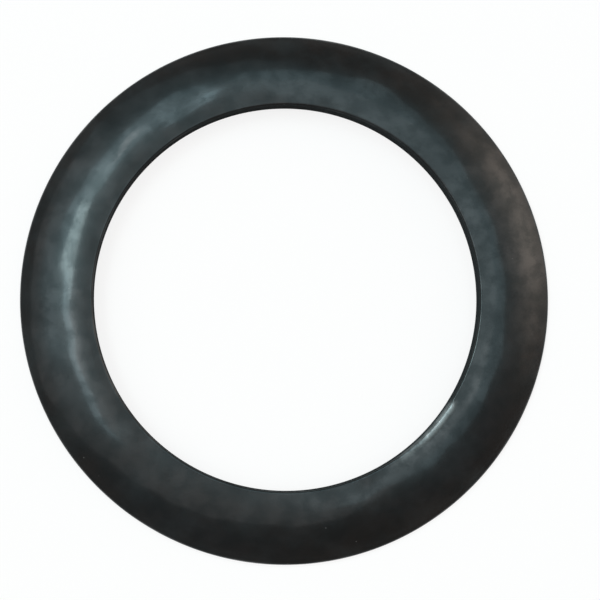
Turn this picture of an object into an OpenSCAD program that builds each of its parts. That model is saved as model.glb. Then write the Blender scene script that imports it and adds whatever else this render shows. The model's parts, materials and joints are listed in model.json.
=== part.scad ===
// Moulded rubber flange gasket: one solid ring with a plain bore, a flat base,
// a flat sealing land on top and a crowned outer face that falls to a low rim.
// The origin is the centre of the base, and +Z runs up the bore.

/* [Ring] */
// Outside diameter, across the rim
outer_d = 90; // [84:0.5:110]
// Diameter of the bore
bore_d = 65; // [50:0.5:70]
// Height, from the base to the sealing land
ring_h = 5; // [3.5:0.25:7]

/* [Faces] */
// Width from the bore to where the crown leaves the land
land_w = 1.3; // [1.1:0.1:3]
// Height of the upright rim at the foot of the crown
rim_h = 0.8; // [0.6:0.1:1.6]

/* [Edges] */
// Radius of the rounded edge between the bore and the land
bore_edge_r = 0.5; // [0.3:0.1:0.9]
// Radius of the rounded lead-in between the bore and the base
bore_foot_r = 1.2; // [0.3:0.1:1.5]
// Radius of the small edge between the rim and the base
rim_foot_r = 0.3; // [0.1:0.05:0.5]

/* [Hidden] */
rubber = "#2b2f31";
$fn = 180;

bore_r = bore_d / 2;
outer_r = outer_d / 2;
crown_start_r = bore_r + land_w;

// The crown is an arc that leaves the land level and comes down to the rim.
// Its radius is kept to a hundredth of a millimetre.
crown_w = outer_r - crown_start_r;
crown_drop = ring_h - rim_h;
crown_r = round(100 * (pow(crown_w, 2) + pow(crown_drop, 2)) / (2 * crown_drop)) / 100;

// What a round edge of radius r takes off a square corner.
// The corner is at the origin and the material lies towards +X and +Y.
module edge_waste(r) {
    difference() {
        translate([-r, -r]) square(2 * r);
        translate([r, r]) circle(r);
    }
}

// Everything at or below the land and the crown, with X as the radius.
module under_crown() {
    square([crown_start_r, ring_h]);
    translate([crown_start_r, ring_h - crown_r]) circle(crown_r);
}

// The ring's section, with X as the radius and Y as the height.
module section() {
    difference() {
        intersection() {
            translate([bore_r, 0]) square([outer_r - bore_r, ring_h]);
            under_crown();
        }
        translate([bore_r, ring_h]) mirror([0, 1]) edge_waste(bore_edge_r);
        translate([bore_r, 0]) edge_waste(bore_foot_r);
        translate([outer_r, 0]) mirror([1, 0]) edge_waste(rim_foot_r);
    }
}

module gasket_ring() {
    color(rubber) rotate_extrude() section();
}

gasket_ring();
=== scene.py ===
"""Dresses a packed flange gasket: one moulded ring of satin black rubber, lying on a pale floor.

The ring is a cross-section swept once round the vertical axis. Its flat base and its level land are
the two sealing faces, and the crown between the land and the thin rim is one circular arc.
"""

import json
import math

import bpy
import numpy as np
from bpy.props import FloatProperty, FloatVectorProperty, IntProperty, PointerProperty
from bpy.types import Operator, Panel, PropertyGroup
from mathutils import Matrix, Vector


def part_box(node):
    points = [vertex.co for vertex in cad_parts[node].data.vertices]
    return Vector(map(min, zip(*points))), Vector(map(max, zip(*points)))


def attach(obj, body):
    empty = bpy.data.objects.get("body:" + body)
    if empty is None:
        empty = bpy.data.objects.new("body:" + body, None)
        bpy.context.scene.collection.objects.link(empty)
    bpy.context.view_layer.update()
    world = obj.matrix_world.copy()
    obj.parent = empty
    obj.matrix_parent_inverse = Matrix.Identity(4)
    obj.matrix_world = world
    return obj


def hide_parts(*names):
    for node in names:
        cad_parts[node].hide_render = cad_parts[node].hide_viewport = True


bl_info = {
    "name": "Flange Gasket",
    "version": (1, 0, 0),
    "blender": (4, 5, 0),
    "location": "View3D > Sidebar > Gasket",
    "description": "Builds a moulded rubber flange gasket and the small studio it lies in",
    "category": "Mesh",
}

MM = 0.001
RING_NODE = "gasket_ring"
RING_BODY = "root"
FULL_TURN = 2.0 * math.pi
QUARTER_TURN = math.pi / 2
WHITE = (1.0, 1.0, 1.0, 1.0)
ROOM_BELOW = (0.9, 0.9, 0.9, 1.0)
LAMP_DISTANCE = 3.0

# Points on each part of the section, in the order in which they are joined.
SECTION_POINTS = {
    "bore_wall": 10,
    "bore_edge": 14,
    "land": 6,
    "crown": 60,
    "rim_corner": 6,
    "rim": 9,
    "rim_foot": 4,
    "base": 8,
    "bore_foot": 8,
}

# How far out from the bore wall the trimmer's knife has matted the rubber.
KNIFE_REACH = 0.05 * MM

# The swells: how many waves are added, their shortest and longest shares of the middle wavelength, and
# how firmly the sum is held within 0 and 1.
SWELL_WAVES = 48
SWELL_SPREAD = (0.7, 1.6)
SWELL_GAIN = 0.6

# The trim mark: the shares of its length over which it comes on and runs full, and the share of its
# width that it has at its two ends.
TRIM_ONSET = 0.12
TRIM_FULL = 0.45
TRIM_TAPER = 0.4

# The rubber's finish: how far bloom and dust tint it, how much of the scuff and its painted highlight
# the rubbed patches take away, what bloom and grain add to the roughness, the strength of the grain's
# relief, and the tint of its mirror light, which is painted light: the lamps' cool colour in its
# reflections.
BLOOM_TINT = 0.35
DUST_TINT = 0.5
SCUFF_AND_HIGHLIGHT_BREAK = 0.6
BLOOM_ROUGHNESS = 0.06
GRAIN_ROUGHNESS = 0.04
GRAIN_RELIEF = 0.6
SKIN_ROUGHNESS = 0.12
# Painted light: a cool tint on every reflection of the rubber, which carries the cool colour of the lamps.
PAINTED_COOL_LIGHT_TINT = (0.82, 1.0, 1.03, 1.0)

# The tints of the light, with the brightest channel at 1.
PLAIN_LIGHT = (1.0, 1.0, 1.0)
DAYLIGHT = (0.8, 1.0, 1.0)
SKY_LIGHT = (0.6, 0.9, 1.0)
SHADE_LIGHT = (0.4, 0.75, 1.0)
WARM_LIGHT = (1.0, 0.85, 0.75)

# Soft lamps: name, then side, lean, half width, half depth and roll in degrees, then tint and strength.
LAMPS = (
    ("window_lamp", 155.0, 28.5, 5.5, 7.0, 0.0, DAYLIGHT, 8.2),
    ("window_side_lamp", -172.0, 24.5, 10.5, 4.0, 0.0, SKY_LIGHT, 3.1),
    ("pane_lamp", 139.0, 34.0, 2.0, 7.0, 0.0, DAYLIGHT, 1.7),
    ("second_pane_lamp", 128.0, 32.0, 1.5, 4.0, 0.0, PLAIN_LIGHT, 7.5),
    ("third_pane_lamp", 104.0, 25.0, 1.5, 6.0, 0.0, SKY_LIGHT, 5.0),
    ("window_top_lamp", 133.0, 33.5, 17.0, 10.5, 0.0, SKY_LIGHT, 2.1),
    ("ceiling_lamp", 175.0, 26.5, 35.0, 45.0, -5.0, PLAIN_LIGHT, 0.6),
    ("upper_lamp", 135.0, 40.0, 33.0, 27.0, 42.0, SKY_LIGHT, 0.4),
    ("right_ceiling_lamp", 42.0, 21.5, 13.5, 31.0, 57.0, SKY_LIGHT, 1.3),
)

# Round glows on the room's walls and ceiling: side, lean and width in degrees, then tint and strength.
ROOM_GLOWS = (
    (20.0, 70.0, 20.0, WARM_LIGHT, 2.6),
    (180.0, 44.0, 16.0, SKY_LIGHT, 0.9),
    (186.0, 20.0, 7.0, PLAIN_LIGHT, 3.3),
    (-27.0, 13.5, 8.0, PLAIN_LIGHT, 0.5),
    (-115.0, 58.0, 22.0, SHADE_LIGHT, 0.12),
    (-32.0, 46.0, 18.0, SHADE_LIGHT, 0.12),
    (-8.0, 14.0, 4.0, PLAIN_LIGHT, 1.1),
    (18.0, 44.0, 14.0, PLAIN_LIGHT, 0.7),
)

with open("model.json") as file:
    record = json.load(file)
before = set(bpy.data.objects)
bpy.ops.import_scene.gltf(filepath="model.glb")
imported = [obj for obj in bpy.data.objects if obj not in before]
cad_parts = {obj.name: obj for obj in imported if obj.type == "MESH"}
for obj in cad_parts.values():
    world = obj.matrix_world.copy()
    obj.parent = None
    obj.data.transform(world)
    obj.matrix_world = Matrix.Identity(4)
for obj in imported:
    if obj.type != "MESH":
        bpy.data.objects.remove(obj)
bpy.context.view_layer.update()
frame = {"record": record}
RING_LOW, RING_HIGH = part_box(RING_NODE)
OUTER_RADIUS = min(RING_HIGH.x, RING_HIGH.y, -RING_LOW.x, -RING_LOW.y)
RING_HEIGHT = RING_HIGH.z - RING_LOW.z
BORE_RADIUS = next(m for m in frame["record"]["mounts"] if m["kind"] == "bore")["dims"]["r_mm"] * MM


# ---------------------------------------------------------------- sizes and colours


class GasketShape(PropertyGroup):
    """The cross-section's own sizes. Its outer size and height come from the frame."""

    land_width: FloatProperty(
        name="Land Width",
        description="From the bore wall to where the crown begins",
        default=1.3 * MM,
        min=1.1 * MM,
        max=3.0 * MM,
        unit="LENGTH",
    )
    rim_height: FloatProperty(
        name="Rim Height",
        description="Height of the ring at its outside",
        default=0.8 * MM,
        min=0.6 * MM,
        max=1.6 * MM,
        unit="LENGTH",
    )
    bore_edge: FloatProperty(
        name="Bore Edge Radius",
        description="Rounding between the bore wall and the land",
        default=0.5 * MM,
        min=0.3 * MM,
        max=0.9 * MM,
        unit="LENGTH",
    )
    bore_foot: FloatProperty(
        name="Bore Foot Radius",
        description="Rounded lead-in between the bore wall and the base",
        default=1.2 * MM,
        min=0.3 * MM,
        max=1.5 * MM,
        unit="LENGTH",
    )
    rim_corner: FloatProperty(
        name="Rim Corner Radius",
        description="Rounding where the crown meets the rim",
        default=0.2 * MM,
        min=0.05 * MM,
        max=0.5 * MM,
        unit="LENGTH",
    )
    rim_foot: FloatProperty(
        name="Rim Foot Radius",
        description="Small rounding between the rim and the base",
        default=0.3 * MM,
        min=0.1 * MM,
        max=0.5 * MM,
        unit="LENGTH",
    )
    flash_height: FloatProperty(
        name="Flash Height",
        description="How far the mould's parting line stands out from the rim",
        default=0.05 * MM,
        min=0.0,
        max=0.2 * MM,
        unit="LENGTH",
    )
    flash_width: FloatProperty(
        name="Flash Width",
        description="How fast the parting line falls away above and below its middle",
        default=0.12 * MM,
        min=0.02 * MM,
        max=0.5 * MM,
        unit="LENGTH",
    )
    columns: IntProperty(
        name="Columns",
        description="Sections round the ring",
        default=720,
        min=90,
        max=900,
    )


class GasketSkin(PropertyGroup):
    """What moulding and trimming leave on the surface, and the highlight painted along the trim mark."""

    swell_depth: FloatProperty(
        name="Swell Depth",
        description="Deepest hollow of the moulded surface's slow unevenness",
        default=0.13 * MM,
        min=0.0,
        max=0.3 * MM,
        unit="LENGTH",
    )
    swell_length: FloatProperty(
        name="Swell Length",
        description="Middle wavelength of the unevenness",
        default=7.5 * MM,
        min=3.0 * MM,
        max=20.0 * MM,
        unit="LENGTH",
    )
    swell_seed: IntProperty(
        name="Swell Seed",
        description="Picks another unevenness of the same kind",
        default=17982,
        min=0,
    )
    worn_size: FloatProperty(
        name="Worn Patch Size",
        description="Middle size of the patches that handling has dulled",
        default=7.5 * MM,
        min=3.0 * MM,
        max=20.0 * MM,
        unit="LENGTH",
    )
    worn_seed: IntProperty(
        name="Worn Patch Seed",
        description="Picks another set of patches of the same kind",
        default=35856,
        min=0,
    )
    trim_start: FloatProperty(
        name="Trim Mark Start",
        description="Where the trimmer first cut the bore's edge wider, round from +X",
        default=math.radians(-30.5),
        subtype="ANGLE",
    )
    trim_length: FloatProperty(
        name="Trim Mark Length",
        description="How far clockwise the cut runs before it has faded out",
        default=math.radians(30.0),
        subtype="ANGLE",
    )
    trim_width: FloatProperty(
        name="Trim Mark Width",
        description="How far from the bore the cut begins where it is widest",
        default=1.65 * MM,
        min=0.5 * MM,
        max=3.0 * MM,
        unit="LENGTH",
    )
    trim_radius: FloatProperty(
        name="Trim Mark Radius",
        description="Radius to which the cut rounds the land down into the bore",
        default=3.5 * MM,
        min=3.1 * MM,
        unit="LENGTH",
    )
    # The pale scuff along the trim mark: partly a bruise from the trimmer, partly a painted highlight of the
    # lamps on the cut edge.
    scuff_and_highlight_place: FloatProperty(
        name="Scuff Place",
        description="From the bore to the middle of the pale scuff along the trim mark",
        default=0.62 * MM,
        min=0.3 * MM,
        max=2.0 * MM,
        unit="LENGTH",
    )
    scuff_and_highlight_width: FloatProperty(
        name="Scuff Width",
        description="How fast the scuff fades to either side",
        default=0.55 * MM,
        min=0.1 * MM,
        max=1.0 * MM,
        unit="LENGTH",
    )


class RubberLook(PropertyGroup):
    """Colours and gloss of the rubber."""

    colour: FloatVectorProperty(
        name="Rubber Colour",
        description="The compound's own near-black",
        subtype="COLOR",
        size=3,
        default=(0.0070, 0.0085, 0.0090),
        min=0.0,
        max=1.0,
    )
    bloom_colour: FloatVectorProperty(
        name="Bloom Colour",
        description="The pale film that cured rubber sweats out",
        subtype="COLOR",
        size=3,
        default=(0.024, 0.030, 0.032),
        min=0.0,
        max=1.0,
    )
    roughness: FloatProperty(
        name="Roughness",
        description="Of the clean moulded surface",
        default=0.28,
        min=0.0,
        max=1.0,
        subtype="FACTOR",
    )
    gloss: FloatProperty(
        name="Gloss",
        description="Strength of the compound's own mirror light, without its skin",
        default=0.24,
        min=0.0,
        max=1.0,
        subtype="FACTOR",
    )
    skin: FloatProperty(
        name="Moulded Skin",
        description="Strength of the smooth, glossy skin that the mould leaves",
        default=0.81,
        min=0.0,
        max=1.0,
        subtype="FACTOR",
    )
    worn_share: FloatProperty(
        name="Worn Share",
        description="How much of the skin is gone where handling has dulled it most",
        default=0.74,
        min=0.0,
        max=1.0,
        subtype="FACTOR",
    )
    rubbed_share: FloatProperty(
        name="Rubbed Share",
        description="How much of the skin is gone in the small rubbed patches",
        default=0.55,
        min=0.0,
        max=1.0,
        subtype="FACTOR",
    )
    rub_size: FloatProperty(
        name="Rubbed Patch Size",
        description="Size of the patches where the skin has been rubbed dull",
        default=2.6 * MM,
        min=1.0 * MM,
        max=20.0 * MM,
        unit="LENGTH",
    )
    cut_colour: FloatVectorProperty(
        name="Cut Colour",
        description="The greyer, skinless rubber of the trimmed bore wall",
        subtype="COLOR",
        size=3,
        default=(0.026, 0.029, 0.030),
        min=0.0,
        max=1.0,
    )
    dust_colour: FloatVectorProperty(
        name="Dust Colour",
        description="Of the few specks that lie on the rubber",
        subtype="COLOR",
        size=3,
        default=(0.25, 0.25, 0.24),
        min=0.0,
        max=1.0,
    )
    # Pale, cool colour of the scuff, which also paints the lamps' highlight on the trimmed bore edge.
    scuff_and_highlight_colour: FloatVectorProperty(
        name="Scuff Colour",
        description="The pale bruise that the trimmer left beside the bore",
        subtype="COLOR",
        size=3,
        default=(0.21, 0.235, 0.235),
        min=0.0,
        max=1.0,
    )
    cut_roughness: FloatProperty(
        name="Cut Roughness",
        description="Of the bore wall, which a knife has trimmed",
        default=0.7,
        min=0.0,
        max=1.0,
        subtype="FACTOR",
    )
    grain_size: FloatProperty(
        name="Grain Size",
        description="Size of the fine texture that the mould leaves",
        default=0.35 * MM,
        min=0.1 * MM,
        max=2.0 * MM,
        unit="LENGTH",
    )
    grain_depth: FloatProperty(
        name="Grain Depth",
        description="Depth of the fine texture",
        default=0.004 * MM,
        min=0.0,
        max=0.05 * MM,
        unit="LENGTH",
    )


class StudioSet(PropertyGroup):
    """Camera, floor and lamps."""

    camera_distance: FloatProperty(
        name="Camera Distance",
        description="From the camera to the point that it looks at",
        default=0.35,
        min=0.1,
        unit="LENGTH",
    )
    camera_tilt: FloatProperty(
        name="Camera Tilt",
        description="How far the camera leans away from straight above",
        default=math.radians(4.75),
        subtype="ANGLE",
    )
    camera_direction: FloatProperty(
        name="Camera Direction",
        description="The side to which the camera leans, round from +X",
        default=math.radians(-129.7),
        subtype="ANGLE",
    )
    camera_aim: FloatVectorProperty(
        name="Camera Aim",
        description="The point on the floor that the camera looks at",
        default=(2.41 * MM, -0.15 * MM, 0.0),
        size=3,
        unit="LENGTH",
    )
    lens: FloatProperty(
        name="Lens",
        description="Focal length in millimetres on a 36 mm sensor",
        default=123.25,
        min=20.0,
    )
    floor_radius: FloatProperty(
        name="Floor Radius",
        description="Reach of the floor",
        default=6.0,
        min=0.5,
        unit="LENGTH",
    )
    floor_colour: FloatVectorProperty(
        name="Floor Colour",
        description="Pale floor",
        subtype="COLOR",
        size=3,
        default=(0.90, 0.88, 0.86),
        min=0.0,
        max=1.0,
    )
    floor_whiteness: FloatProperty(
        name="Floor Whiteness",
        description="How far the floor is lifted to plain white where it is seen",
        default=0.82,
        min=0.0,
        max=1.0,
        subtype="FACTOR",
    )
    room_light: FloatVectorProperty(
        name="Room Light",
        description="Dim light that comes from all round the room",
        subtype="COLOR",
        size=3,
        default=(0.18, 0.10, 0.07),
        min=0.0,
        max=1.0,
    )


# ---------------------------------------------------------------- the ring's surface


def arc(centre, radius, start, end, steps):
    """Points of a circle: centre + radius * (cos t, sin t), with t running evenly from start to end."""
    turn = np.linspace(start, end, steps, endpoint=False)
    return np.stack([centre[0] + radius * np.cos(turn), centre[1] + radius * np.sin(turn)], axis=1)


def straight(start, end, steps):
    """Points of a line: start + (end - start) * t, with t running evenly from 0 to 1."""
    share = np.linspace(0.0, 1.0, steps, endpoint=False)[:, None]
    return np.array(start) * (1.0 - share) + np.array(end) * share


def ring_section(shape):
    """The closed cross-section as (radius, height) pairs, up the bore wall, over the crown and back under.

    The crown is an arc that leaves the land level: its radius is (w * w + d * d) / (2 * d) for a width
    w and a drop d. The rim corner is a smaller circle that touches the crown from inside and the rim.
    """
    crown_start = BORE_RADIUS + shape.land_width
    crown_width = OUTER_RADIUS - crown_start
    crown_drop = RING_HEIGHT - shape.rim_height
    crown_radius = (crown_width**2 + crown_drop**2) / (2 * crown_drop)
    crown_centre = (crown_start, RING_HEIGHT - crown_radius)
    corner_x = OUTER_RADIUS - shape.rim_corner
    reach = crown_radius - shape.rim_corner
    corner_z = crown_centre[1] + math.sqrt(reach**2 - (corner_x - crown_start) ** 2)
    corner_turn = math.acos((corner_x - crown_start) / reach)
    edge_in = (BORE_RADIUS + shape.bore_edge, RING_HEIGHT - shape.bore_edge)
    base_in = (BORE_RADIUS + shape.bore_foot, shape.bore_foot)
    base_out = (OUTER_RADIUS - shape.rim_foot, shape.rim_foot)
    counts = SECTION_POINTS
    return np.concatenate(
        [
            straight((BORE_RADIUS, base_in[1]), (BORE_RADIUS, edge_in[1]), counts["bore_wall"]),
            arc(edge_in, shape.bore_edge, math.pi, QUARTER_TURN, counts["bore_edge"]),
            straight((edge_in[0], RING_HEIGHT), (crown_start, RING_HEIGHT), counts["land"]),
            arc(crown_centre, crown_radius, QUARTER_TURN, corner_turn, counts["crown"]),
            arc((corner_x, corner_z), shape.rim_corner, corner_turn, 0.0, counts["rim_corner"]),
            straight((OUTER_RADIUS, corner_z), (OUTER_RADIUS, base_out[1]), counts["rim"]),
            arc(base_out, shape.rim_foot, 0.0, -QUARTER_TURN, counts["rim_foot"]),
            straight((base_out[0], 0.0), (base_in[0], 0.0), counts["base"]),
            arc(base_in, shape.bore_foot, -QUARTER_TURN, -math.pi, counts["bore_foot"]),
        ]
    )


def trimmed_rows(section):
    """Which rows of faces lie wholly within the knife's reach of the bore wall."""
    following = np.roll(section, -1, axis=0)
    return np.maximum(section[:, 0], following[:, 0]) < BORE_RADIUS + KNIFE_REACH


def section_normals(section):
    """Outward unit normals of a closed section: the chord between each point's neighbours, turned."""
    chord = np.roll(section, -1, axis=0) - np.roll(section, 1, axis=0)
    normals = np.stack([-chord[:, 1], chord[:, 0]], axis=1)
    return normals / np.linalg.norm(normals, axis=1, keepdims=True)


def smooth_step(value, start, end):
    """0 before start, 1 after end, and 3 t^2 - 2 t^3 between them."""
    share = np.clip((value - start) / (end - start), 0.0, 1.0)
    return share * share * (3.0 - 2.0 * share)


def swells(points, length, seed):
    """Slow unevenness from 0 to 1 at any points: cosine waves in space, each with its own direction, phase
    and wavelength, added up, brought to a spread of 1 and held by 0.5 + 0.5 tanh."""
    draw = np.random.default_rng(seed)
    heading = draw.normal(size=(SWELL_WAVES, 3))
    heading /= np.linalg.norm(heading, axis=1, keepdims=True)
    wavelength = length * draw.uniform(*SWELL_SPREAD, SWELL_WAVES)
    phase = draw.uniform(0.0, FULL_TURN, SWELL_WAVES)
    angle = points @ (heading * (FULL_TURN / wavelength)[:, None]).T + phase
    total = np.cos(angle).mean(axis=-1) * math.sqrt(SWELL_WAVES / 2.0)
    return 0.5 + 0.5 * np.tanh(total * SWELL_GAIN)


def flash_groove(section, shape):
    """How far each point of the section sinks beside the flash line, which stands on the rim alone.

    It is the flash's height times 1 - exp(-(h / w)^2), for a height h above or below the line and its
    width w.
    """
    on_rim = smooth_step(section[:, 0], OUTER_RADIUS - shape.rim_corner, OUTER_RADIUS)
    off_line = (section[:, 1] - shape.rim_height / 2) / shape.flash_width
    return shape.flash_height * (on_rim * (1.0 - np.exp(-(off_line**2))))


def trim_mark(section, turn, skin):
    """How far the trim mark lowers each point of the (round, across) grid, and how strongly the scuff covers
    each point. The scuff is a pale bruise and a painted highlight of the lamps on the cut edge.

    Clockwise from its start the mark comes on quickly, runs full and then fades out. Across the ring it
    is an arc of the trim radius, level at the mark's width from the bore and falling towards it. The
    scuff is exp(-(d / w)^2), for a distance d from its middle and its width w.
    """
    past_start = (skin.trim_start - turn) % FULL_TURN
    begins = smooth_step(past_start, 0.0, TRIM_ONSET * skin.trim_length)
    along = begins * (1.0 - smooth_step(past_start, TRIM_FULL * skin.trim_length, skin.trim_length))
    along = along[:, None]
    upper = smooth_step(section[:, 1], 0.45 * RING_HEIGHT, 0.85 * RING_HEIGHT)
    width = skin.trim_width * (TRIM_TAPER + (1.0 - TRIM_TAPER) * along)
    into_cut = np.clip(BORE_RADIUS + width - section[:, 0], 0.0, None)
    fall = (skin.trim_radius - np.sqrt(skin.trim_radius**2 - into_cut**2)) * upper
    eased = smooth_step(along, 0.0, 0.25)
    # The scuff mask: a pale bruise that also carries a painted highlight.
    off_middle = (section[:, 0] - BORE_RADIUS - skin.scuff_and_highlight_place) / skin.scuff_and_highlight_width
    scuff_and_highlight = along * np.exp(-(off_middle**2)) * upper
    return fall * eased, scuff_and_highlight


def moulded_surface(shape, skin):
    """The ring's points as a grid (round, across), and the masks that say where it has the scuff, with its
    painted highlight, and where it is worn.

    The section is swept round +Z and then sunk along its normal by the swells and beside the flash line,
    and the trim mark lowers the land by the bore. Every change goes inwards, so the ring keeps inside
    its own plain form. The swells fade out where the normal is level, so the bore wall stays true.
    """
    section = ring_section(shape)
    normals = section_normals(section)
    turn = np.linspace(0.0, FULL_TURN, shape.columns, endpoint=False)
    heading = np.stack([np.cos(turn), np.sin(turn), np.zeros_like(turn)], axis=1)
    up = np.array([0.0, 0.0, 1.0])
    plain = section[None, :, :1] * heading[:, None, :] + section[None, :, 1:] * up
    outward = normals[None, :, :1] * heading[:, None, :] + normals[None, :, 1:] * up

    above_rim = smooth_step(section[:, 1], 0.1 * RING_HEIGHT, 0.3 * RING_HEIGHT)
    faces_up = smooth_step(normals[:, 1], 0.0, 0.6)
    unevenness = swells(plain, skin.swell_length, skin.swell_seed)
    sink = skin.swell_depth * unevenness * (above_rim * faces_up) + flash_groove(section, shape)
    points = plain - outward * sink[:, :, None]

    lowered, scuff_and_highlight = trim_mark(section, turn, skin)
    points[:, :, 2] -= lowered
    worn = swells(plain, skin.worn_size, skin.worn_seed)
    return points, {"scuff_and_highlight": scuff_and_highlight, "worn": worn}


def ring_mesh(name, points, masks, face_finish):
    """A closed tube of quads through a (round, across) grid of points, its UV map and its point masks.

    U runs once round the ring and V once round the section. face_finish is the material number of
    each row of faces across the section.
    """
    around, across = points.shape[:2]
    column, row = np.meshgrid(np.arange(around), np.arange(across), indexing="ij")
    next_column = (column + 1) % around
    next_row = (row + 1) % across
    corners = [(column, row), (column, next_row), (next_column, next_row), (next_column, row)]
    faces = np.stack([c * across + r for c, r in corners], axis=-1).reshape(-1, 4)
    mesh = bpy.data.meshes.new(name)
    mesh.from_pydata(points.reshape(-1, 3), [], faces)
    u_corners = np.stack([column, column, column + 1, column + 1], axis=-1) / around
    v_corners = np.stack([row, row + 1, row + 1, row], axis=-1) / across
    uv_map = mesh.uv_layers.new(name="swept")
    uv_map.data.foreach_set("uv", np.stack([u_corners, v_corners], axis=-1).ravel())
    for mask_name, values in masks.items():
        mask = mesh.attributes.new(mask_name, "FLOAT", "POINT")
        mask.data.foreach_set("value", values.astype(np.float32).ravel())
    mesh.polygons.foreach_set("use_smooth", np.ones(len(mesh.polygons), dtype=bool))
    mesh.polygons.foreach_set("material_index", np.tile(face_finish, around).astype(np.int32))
    mesh.update()
    return mesh


# ---------------------------------------------------------------- shader tools


class Nodes:
    """Short calls for building one node tree."""

    def __init__(self, tree):
        self.tree = tree

    def feed(self, sockets, inputs):
        """Links or sets input sockets, each picked by its name or number."""
        for name, value in inputs.items():
            if isinstance(value, bpy.types.NodeSocket):
                self.tree.links.new(value, sockets[name])
            else:
                sockets[name].default_value = value

    def add(self, kind, inputs=None, **settings):
        """A node of a kind, with settings on the node and values or links on its inputs."""
        node = self.tree.nodes.new(kind)
        for name, value in settings.items():
            setattr(node, name, value)
        self.feed(node.inputs, inputs or {})
        return node

    def maths(self, operation, *values):
        """The result socket of a Math node."""
        return self.add("ShaderNodeMath", dict(enumerate(values)), operation=operation).outputs[0]

    def left_after(self, mask, share):
        """What is left of 1 once a share of a mask is taken away."""
        return self.maths("SUBTRACT", 1.0, self.maths("MULTIPLY", mask, share))

    def blend(self, factor, first, second):
        """A colour between two, by a factor."""
        node = self.add("ShaderNodeMix", data_type="RGBA")
        sockets = {socket.name: socket for socket in node.inputs if socket.enabled}
        self.feed(sockets, {"Factor": factor, "A": first, "B": second})
        return next(socket for socket in node.outputs if socket.enabled)

    def between(self, value, low, high):
        """A value mapped so that low gives 0 and high gives 1, held within them."""
        inputs = {"Value": value, "From Min": low, "From Max": high}
        return self.add("ShaderNodeMapRange", inputs, clamp=True).outputs["Result"]

    def noise(self, place, scale, detail):
        """The value of a Noise Texture."""
        inputs = {"Vector": place, "Scale": scale, "Detail": detail}
        return self.add("ShaderNodeTexNoise", inputs).outputs["Fac"]


def effect_group(name, sockets_in, sockets_out):
    """A new shader node group with float or vector inputs and float outputs: the group, the sockets that
    its inputs come from and the sockets that its outputs go to."""
    group = bpy.data.node_groups.new(name, "ShaderNodeTree")
    for label, kind, default in sockets_in:
        socket = group.interface.new_socket(label, in_out="INPUT", socket_type=kind)
        if default is not None:
            socket.default_value = default
    for label in sockets_out:
        group.interface.new_socket(label, in_out="OUTPUT", socket_type="NodeSocketFloat")
    return group, group.nodes.new("NodeGroupInput").outputs, group.nodes.new("NodeGroupOutput").inputs


def moulded_grain_group():
    """Fine pimples that the mould's own surface leaves: a noise of the grain's size and one four times
    as coarse and 1.6 times as strong."""
    group, given, result = effect_group(
        "moulded_grain",
        [
            ("Vector", "NodeSocketVector", None),
            ("Size", "NodeSocketFloat", 0.35 * MM),
            ("Depth", "NodeSocketFloat", 0.004 * MM),
        ],
        ["Height", "Speckle"],
    )
    tools = Nodes(group)
    fine_scale = tools.maths("DIVIDE", 1.0, given["Size"])
    coarse_scale = tools.maths("DIVIDE", 0.25, given["Size"])
    fine = tools.noise(given["Vector"], fine_scale, 2.0)
    coarse = tools.maths("MULTIPLY", tools.noise(given["Vector"], coarse_scale, 3.0), 1.6)
    mixed = tools.maths("ADD", fine, coarse)
    group.links.new(tools.maths("MULTIPLY", mixed, given["Depth"]), result["Height"])
    group.links.new(tools.between(fine, 0.3, 0.7), result["Speckle"])
    return group


def patches_group():
    """Cloudy patches: one slow noise, broken by one six times finer, from 0 at Start to 1 at Full."""
    group, given, result = effect_group(
        "cloudy_patches",
        [
            ("Vector", "NodeSocketVector", None),
            ("Patch Size", "NodeSocketFloat", 9.0 * MM),
            ("Start", "NodeSocketFloat", 0.45),
            ("Full", "NodeSocketFloat", 0.75),
        ],
        ["Mask"],
    )
    tools = Nodes(group)
    break_strength = 0.25
    patch_scale = tools.maths("DIVIDE", 1.0, given["Patch Size"])
    break_scale = tools.maths("DIVIDE", 6.0, given["Patch Size"])
    patch = tools.noise(given["Vector"], patch_scale, 3.0)
    broken = tools.maths("MULTIPLY", tools.noise(given["Vector"], break_scale, 2.0), break_strength)
    mixed = tools.maths("SUBTRACT", tools.maths("ADD", patch, broken), break_strength / 2)
    group.links.new(tools.between(mixed, given["Start"], given["Full"]), result["Mask"])
    return group


def dust_group():
    """Single specks of dust: round spots about scattered points, of which under half are kept."""
    group, given, result = effect_group(
        "dust_specks",
        [
            ("Vector", "NodeSocketVector", None),
            ("Spacing", "NodeSocketFloat", 2.4 * MM),
            ("Speck Size", "NodeSocketFloat", 0.04),
        ],
        ["Mask"],
    )
    tools = Nodes(group)
    scale = tools.maths("DIVIDE", 1.0, given["Spacing"])
    cells = tools.add("ShaderNodeTexVoronoi", {"Vector": given["Vector"], "Scale": scale}, feature="F1")
    pick = tools.add("ShaderNodeSeparateColor", {"Color": cells.outputs["Color"]})
    kept = tools.maths("GREATER_THAN", pick.outputs["Red"], 0.55)
    reach = tools.maths("MULTIPLY", given["Speck Size"], pick.outputs["Green"])
    near = tools.maths("LESS_THAN", cells.outputs["Distance"], reach)
    group.links.new(tools.maths("MULTIPLY", kept, near), result["Mask"])
    return group


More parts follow.
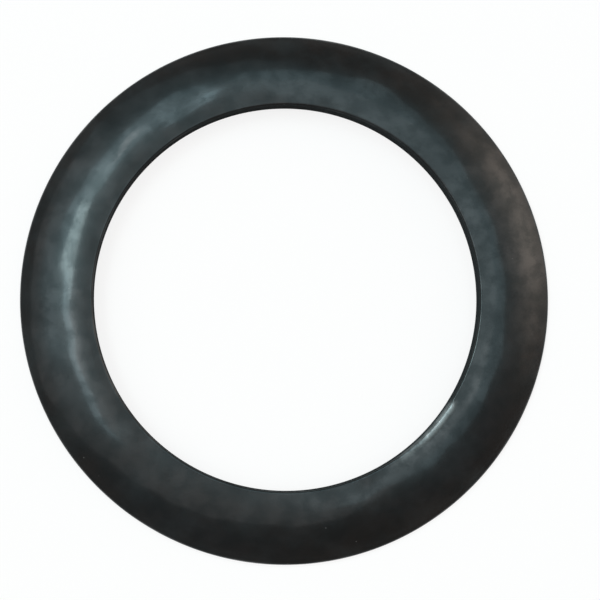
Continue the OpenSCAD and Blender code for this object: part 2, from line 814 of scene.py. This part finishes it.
def rubber_material(name, effects, look, colour, roughness, gloss=0.0, skin=0.0):
    """Black rubber: near-black compound, cloudy bloom, moulded grain, dust and the trimmer's pale scuff,
    which is also a painted highlight on the trimmed edge.

    The smooth skin that the mould leaves is a coat of strength skin, which broad worn patches and small
    rubbed ones make thinner. The scuff is polished, and has the full coat; its pale colour paints a
    highlight as well as a bruise.
    """
    material = bpy.data.materials.new(name)
    material.use_nodes = True
    tree = material.node_tree
    tree.nodes.clear()
    tools = Nodes(tree)
    place = tools.add("ShaderNodeTexCoord").outputs["Object"]
    own_values = {
        "bloom": {},
        "rubbed": {"Patch Size": look.rub_size, "Start": 0.4, "Full": 0.62},
        "grain": {"Size": look.grain_size, "Depth": look.grain_depth},
        "dust": {},
    }
    placed = {}
    for label, values in own_values.items():
        node = tools.add("ShaderNodeGroup", node_tree=effects[label])
        tools.feed(node.inputs, {"Vector": place, **values})
        placed[label] = node.outputs
    bloom = placed["bloom"]["Mask"]
    rubbed = placed["rubbed"]["Mask"]
    # Scuff mask from the mesh: where the pale colour paints a highlight on the trimmed edge as well as a
    # bruise.
    scuff_and_highlight = tools.add("ShaderNodeAttribute", attribute_name="scuff_and_highlight").outputs["Fac"]
    scuff_and_highlight = tools.maths("MULTIPLY", scuff_and_highlight, tools.left_after(rubbed, SCUFF_AND_HIGHLIGHT_BREAK))

    base = tools.blend(tools.maths("MULTIPLY", bloom, BLOOM_TINT), (*colour, 1.0), (*look.bloom_colour, 1.0))
    dusty = tools.maths("MULTIPLY", placed["dust"]["Mask"], DUST_TINT)
    base = tools.blend(dusty, base, (*look.dust_colour, 1.0))
    # Painted highlight: the scuff's pale colour lifts the trimmed edge as a reflection would.
    base = tools.blend(scuff_and_highlight, base, (*look.scuff_and_highlight_colour, 1.0))
    rough = tools.maths("ADD", roughness, tools.maths("MULTIPLY", bloom, BLOOM_ROUGHNESS))
    speckle = tools.maths("MULTIPLY", placed["grain"]["Speckle"], GRAIN_ROUGHNESS)
    relief = {"Height": placed["grain"]["Height"], "Distance": 1.0, "Strength": GRAIN_RELIEF}
    coat = 0.0
    if skin > 0.0:
        worn = tools.add("ShaderNodeAttribute", attribute_name="worn").outputs["Fac"]
        unworn = tools.left_after(worn, look.worn_share)
        kept = tools.maths("MULTIPLY", tools.left_after(rubbed, look.rubbed_share), unworn)
        coat = tools.maths("MAXIMUM", tools.maths("MULTIPLY", kept, skin), scuff_and_highlight)
    rubber = tools.add(
        "ShaderNodeBsdfPrincipled",
        {
            "Base Color": base,
            "Roughness": tools.maths("ADD", rough, speckle),
            "Normal": tools.add("ShaderNodeBump", relief).outputs["Normal"],
            "Metallic": 0.0,
            "Specular IOR Level": gloss,
            # Painted light: the lamps' cool colour, carried in the rubber's reflections.
            "Specular Tint": PAINTED_COOL_LIGHT_TINT,
            "Coat Weight": coat,
            "Coat Roughness": SKIN_ROUGHNESS,
        },
    )
    tools.add("ShaderNodeOutputMaterial", {"Surface": rubber.outputs["BSDF"]})
    return material


# ---------------------------------------------------------------- floor, lamps and camera


def link_new(name, data):
    """A new object for mesh, lamp or camera data, linked into the scene."""
    piece = bpy.data.objects.new(name, data)
    bpy.context.scene.collection.objects.link(piece)
    return piece


def floor_mesh(radius, bore_foot):
    """A level disc just below the base, open where the base covers it so that the underside can be seen.

    Each ring of points is its own radius times (cos t, sin t); quads join ring to ring.
    """
    steps = 180
    gap = 0.02 * MM
    middle = 1.0 * MM
    inner_reach = BORE_RADIUS + bore_foot + gap
    outer_reach = OUTER_RADIUS - 1.0 * MM
    radii = [middle, inner_reach, outer_reach, 0.1, 0.5, radius]
    turn = np.linspace(0.0, FULL_TURN, steps, endpoint=False)
    rings = [np.stack([r * np.cos(turn), r * np.sin(turn), np.full(steps, -gap)], axis=1) for r in radii]
    step = np.arange(steps)
    following = (step + 1) % steps
    quads = []
    for ring in (0, 2, 3, 4):
        near = ring * steps
        far = near + steps
        quads.append(np.stack([near + step, far + step, far + following, near + following], axis=1))
    mesh = bpy.data.meshes.new("floor")
    mesh.from_pydata(np.concatenate(rings), [], [list(step), *np.concatenate(quads).tolist()])
    mesh.update()
    return mesh


def floor_material(name, colour, whiteness):
    """A matt floor that keeps its shadows, lifted towards white for what sees it straight or as a mirror.

    whiteness is the share of plain white that camera, glossy and transmitted rays see.
    """
    material = bpy.data.materials.new(name)
    material.use_nodes = True
    tree = material.node_tree
    tree.nodes.clear()
    tools = Nodes(tree)
    rays = tools.add("ShaderNodeLightPath").outputs
    mirrored = tools.maths("MAXIMUM", rays["Is Glossy Ray"], rays["Is Transmission Ray"])
    seen = tools.maths("MAXIMUM", rays["Is Camera Ray"], mirrored)
    matt = tools.add("ShaderNodeBsdfDiffuse", {"Color": (*colour, 1.0)})
    white = tools.add("ShaderNodeEmission", {"Color": WHITE, "Strength": 1.0})
    lifted = tools.add("ShaderNodeMixShader", {"Fac": tools.maths("MULTIPLY", seen, whiteness)})
    tree.links.new(matt.outputs["BSDF"], lifted.inputs[1])
    tree.links.new(white.outputs["Emission"], lifted.inputs[2])
    tools.add("ShaderNodeOutputMaterial", {"Surface": lifted.outputs["Shader"]})
    return material


def direction(side, lean):
    """The unit vector at a bearing round from +X and a lean off the vertical, both in radians."""
    return np.array([math.sin(lean) * math.cos(side), math.sin(lean) * math.sin(side), math.cos(lean)])


def stood_at(place, right, up, back):
    """The matrix of a lamp or camera at a place, with its own X, Y and Z along three unit vectors."""
    matrix = np.identity(4)
    matrix[:3] = np.stack([right, up, back, place], axis=1)
    return Matrix(matrix.tolist())


def softbox(name, side, lean, half_width, half_depth, roll, tint, strength):
    """A rectangular lamp LAMP_DISTANCE away that faces the gasket. All angles are in degrees.

    side is its bearing round from +X and lean its angle off the vertical. Its half width and half
    depth are angles as seen from the gasket; at no roll the width lies level. Its radiance is tint
    times strength.
    """
    bearing = math.radians(side)
    turn = math.radians(roll)
    away = direction(bearing, math.radians(lean))
    level = np.array([-math.sin(bearing), math.cos(bearing), 0.0])
    steep = np.cross(away, level)
    right = level * math.cos(turn) + steep * math.sin(turn)
    up = steep * math.cos(turn) - level * math.sin(turn)
    data = bpy.data.lights.new(name, "AREA")
    data.shape = "RECTANGLE"
    data.size = 2.0 * LAMP_DISTANCE * math.tan(math.radians(half_width))
    data.size_y = 2.0 * LAMP_DISTANCE * math.tan(math.radians(half_depth))
    data.color = tint
    data.energy = strength * math.pi * data.size * data.size_y
    lamp = link_new(name, data)
    lamp.matrix_world = stood_at(LAMP_DISTANCE * away, right, up, away)
    lamp.visible_camera = False


def soft_glow(tools, heading, side, lean, width, tint, strength):
    """A round glow in the room. Its radiance is tint times strength times exp(-(a / width)^2).

    a is the angle from its middle. All angles are in degrees, side being the bearing round from +X and
    lean the angle off the vertical.
    """
    middle = tuple(direction(math.radians(side), math.radians(lean)))
    facing = tools.add("ShaderNodeVectorMath", {0: heading, 1: middle}, operation="DOT_PRODUCT")
    angle = tools.maths("ARCCOSINE", facing.outputs["Value"])
    share = tools.maths("DIVIDE", angle, math.radians(width))
    mask = tools.maths("EXPONENT", tools.maths("MULTIPLY", tools.maths("MULTIPLY", share, share), -1.0))
    bright = tools.maths("MULTIPLY", mask, strength)
    glow = tools.add("ShaderNodeVectorMath", {0: tint, "Scale": bright}, operation="SCALE")
    return glow.outputs["Vector"]


def room_world(light):
    """Dim light and soft glows from above the floor, and a bright room below it for looks at the underside.

    What sees the room straight or through a clear body sees plain white.
    """
    world = bpy.data.worlds.new("room")
    world.use_nodes = True
    tree = world.node_tree
    tree.nodes.clear()
    tools = Nodes(tree)
    heading = tools.add("ShaderNodeTexCoord").outputs["Generated"]
    total = tools.add("ShaderNodeCombineXYZ", dict(enumerate(light))).outputs["Vector"]
    for row in ROOM_GLOWS:
        glow = soft_glow(tools, heading, *row)
        total = tools.add("ShaderNodeVectorMath", {0: total, 1: glow}, operation="ADD").outputs["Vector"]
    height = tools.add("ShaderNodeSeparateXYZ", {"Vector": heading}).outputs["Z"]
    colour = tools.blend(tools.maths("LESS_THAN", height, 0.0), total, ROOM_BELOW)
    rays = tools.add("ShaderNodeLightPath").outputs
    seen = tools.maths("MAXIMUM", rays["Is Camera Ray"], rays["Is Transmission Ray"])
    colour = tools.blend(seen, colour, WHITE)
    background = tools.add("ShaderNodeBackground", {"Color": colour, "Strength": 1.0})
    tools.add("ShaderNodeOutputWorld", {"Surface": background.outputs["Background"]})
    return world


def studio_camera(studio):
    """A camera that leans by its tilt towards its direction and looks at its aim with +Y up."""
    data = bpy.data.cameras.new("camera")
    data.lens = studio.lens
    data.sensor_width = 36.0
    data.clip_start = 0.01
    data.clip_end = 20.0
    camera = link_new("camera", data)
    aim = np.array(studio.camera_aim)
    place = studio.camera_distance * direction(studio.camera_direction, studio.camera_tilt)
    forward = (aim - place) / np.linalg.norm(aim - place)
    right = np.cross(forward, (0.0, 1.0, 0.0))
    right /= np.linalg.norm(right)
    camera.matrix_world = stood_at(place, right, np.cross(right, forward), -forward)
    return camera


# ---------------------------------------------------------------- operators and panel


class GASKET_OT_ring(Operator):
    """Sweep the gasket's section round, give it its moulded skin and cover it in satin black rubber"""

    bl_idname = "gasket.ring"
    bl_label = "Moulded Ring"

    def execute(self, context):
        scene = context.scene
        points, masks = moulded_surface(scene.gasket_shape, scene.gasket_skin)
        look = scene.gasket_rubber
        finish = trimmed_rows(ring_section(scene.gasket_shape))
        ring = link_new("moulded_ring", ring_mesh("moulded_ring", points, masks, finish))
        patches = patches_group()
        effects = {
            "grain": moulded_grain_group(),
            "bloom": patches,
            "rubbed": patches,
            "dust": dust_group(),
        }
        moulded = rubber_material(
            "satin_black_rubber", effects, look, look.colour, look.roughness, look.gloss, look.skin
        )
        trimmed = rubber_material("matt_trimmed_rubber", effects, look, look.cut_colour, look.cut_roughness)
        ring.data.materials.append(moulded)
        ring.data.materials.append(trimmed)
        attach(ring, RING_BODY)
        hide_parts(RING_NODE)
        return {"FINISHED"}


class GASKET_OT_stage(Operator):
    """Lay the pale floor, hang the soft lamps and stand the camera over the gasket"""

    bl_idname = "gasket.stage"
    bl_label = "Stage"

    def execute(self, context):
        scene = context.scene
        studio = scene.gasket_studio
        floor = link_new("floor", floor_mesh(studio.floor_radius, scene.gasket_shape.bore_foot))
        finish = floor_material("pale_floor", studio.floor_colour, studio.floor_whiteness)
        floor.data.materials.append(finish)
        for lamp in LAMPS:
            softbox(*lamp)
        scene.world = room_world(studio.room_light)
        scene.camera = studio_camera(studio)
        scene.view_settings.view_transform = "Standard"
        return {"FINISHED"}


class GASKET_PT_panel(Panel):
    """Lists the gasket's sizes and colours and the operators that build it"""

    bl_idname = "GASKET_PT_panel"
    bl_label = "Flange Gasket"
    bl_space_type = "VIEW_3D"
    bl_region_type = "UI"
    bl_category = "Gasket"

    def draw(self, context):
        layout = self.layout
        for name in SETTINGS:
            settings = getattr(context.scene, name)
            box = layout.box()
            for prop in settings.bl_rna.properties:
                if prop.identifier not in ("rna_type", "name"):
                    box.prop(settings, prop.identifier)
        layout.operator(GASKET_OT_ring.bl_idname)
        layout.operator(GASKET_OT_stage.bl_idname)


SETTINGS = {
    "gasket_shape": GasketShape,
    "gasket_skin": GasketSkin,
    "gasket_rubber": RubberLook,
    "gasket_studio": StudioSet,
}
CLASSES = (*SETTINGS.values(), GASKET_OT_ring, GASKET_OT_stage, GASKET_PT_panel)


def register():
    for cls in CLASSES:
        bpy.utils.register_class(cls)
    for name, cls in SETTINGS.items():
        setattr(bpy.types.Scene, name, PointerProperty(type=cls))


def unregister():
    for name in SETTINGS:
        delattr(bpy.types.Scene, name)
    for cls in reversed(CLASSES):
        bpy.utils.unregister_class(cls)


def main():
    register()
    bpy.ops.gasket.ring()
    bpy.ops.gasket.stage()


if __name__ == "__main__":
    main()
